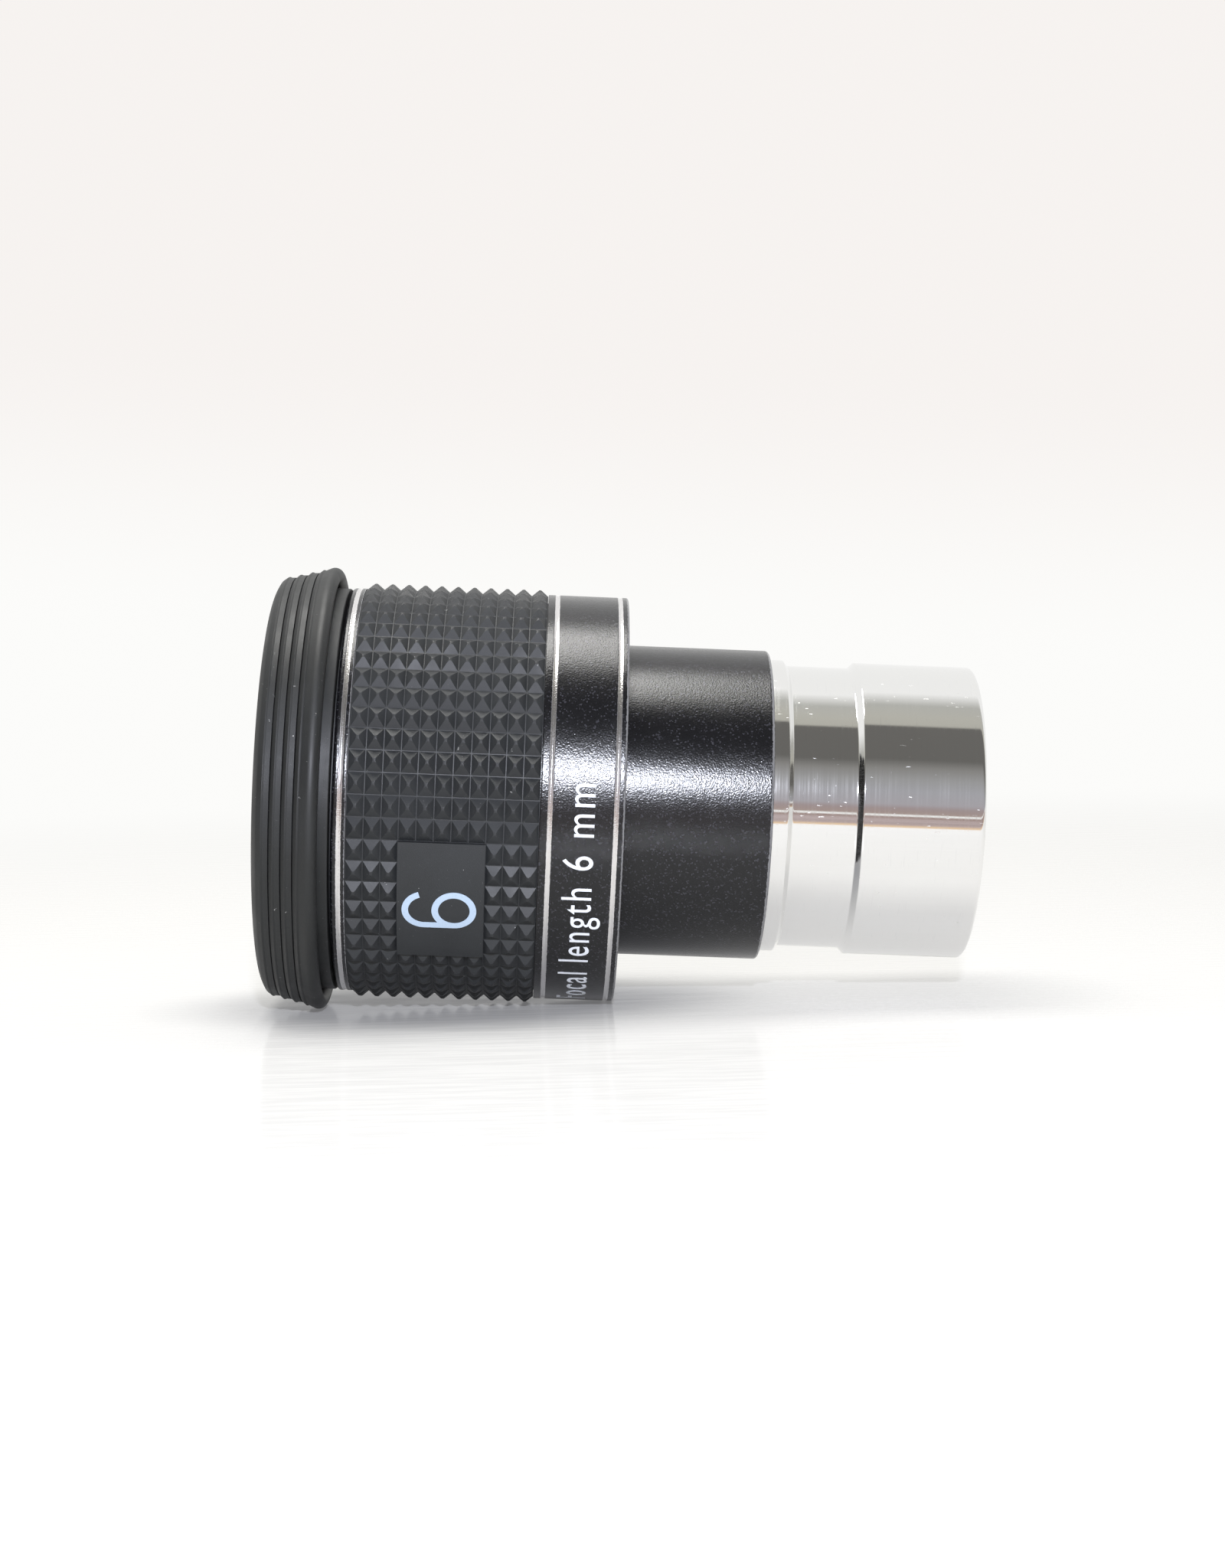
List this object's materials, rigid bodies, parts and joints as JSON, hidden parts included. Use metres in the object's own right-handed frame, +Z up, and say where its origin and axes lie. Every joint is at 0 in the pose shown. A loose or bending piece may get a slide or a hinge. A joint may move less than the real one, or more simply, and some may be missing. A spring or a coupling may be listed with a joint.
{
  "type": "telescope eyepiece",
  "caption": "Push-fit telescope eyepiece with a knurled twist-up sleeve, folded rubber eyecup and chromed barrel with an undercut.",
  "frame": {"origin": "centre of the lower body's shoulder face, the face that seats on the telescope's focuser", "axes": "the optical axis is X: +X points along the barrel into the telescope, the eye end is towards -X, and +Z is up with the label panel on the -Y side"},
  "size_m": [0.0753, 0.0478, 0.0478],
  "materials": {
    "barrel_chrome": "bright chrome plate on brass, fine turning marks and hairline scratches",
    "black_anodise": "bead-blasted satin black anodise with bright diamond-cut lines",
    "matt_black_metal": "matt black anodise against stray light",
    "coated_glass": "polished optical glass with a green multi-layer coating",
    "grip_rubber": "moulded matt rubber",
    "eyecup_rubber": "soft matt rubber with a little dust",
    "ring_rubber": "greased nitrile",
    "screw_steel": "black oxide"
  },
  "bodies": {
    "body": {"barrel": "barrel_chrome", "lower_body": "black_anodise", "lens_cell": "matt_black_metal", "eye_lens_ring": "matt_black_metal", "eye_lens_crown": "coated_glass", "eye_lens_flint": "coated_glass", "lens_spacer": "matt_black_metal", "middle_lens": "coated_glass", "field_stop": "matt_black_metal", "field_lens_tube": "matt_black_metal", "field_lens_concave": "coated_glass", "field_lens_meniscus": "coated_glass", "field_lens_ring": "matt_black_metal"},
    "lift_ring": {"damping_ring": "ring_rubber"},
    "sleeve": {"twist_sleeve": "black_anodise", "rubber_grip": "grip_rubber", "eyecup_ring": "matt_black_metal", "eyecup": "eyecup_rubber", "guide_screw_1": "screw_steel", "guide_screw_2": "screw_steel", "guide_screw_3": "screw_steel"}
  },
  "joints": [
    {"name": "eyecup_lift", "type": "slide", "parent": "body", "child": "lift_ring", "axis": [-1, 0, 0], "range_m": [0, 0.009]},
    {"name": "sleeve_twist", "type": "hinge", "parent": "lift_ring", "child": "sleeve", "pos_m": [0, 0, 0], "axis": [-1, 0, 0], "range_deg": [0, 180]}
  ],
  "couplings": [
    {"joint": "eyecup_lift", "follows": "sleeve_twist", "m_per_rad": 0.0028648}
  ]
}
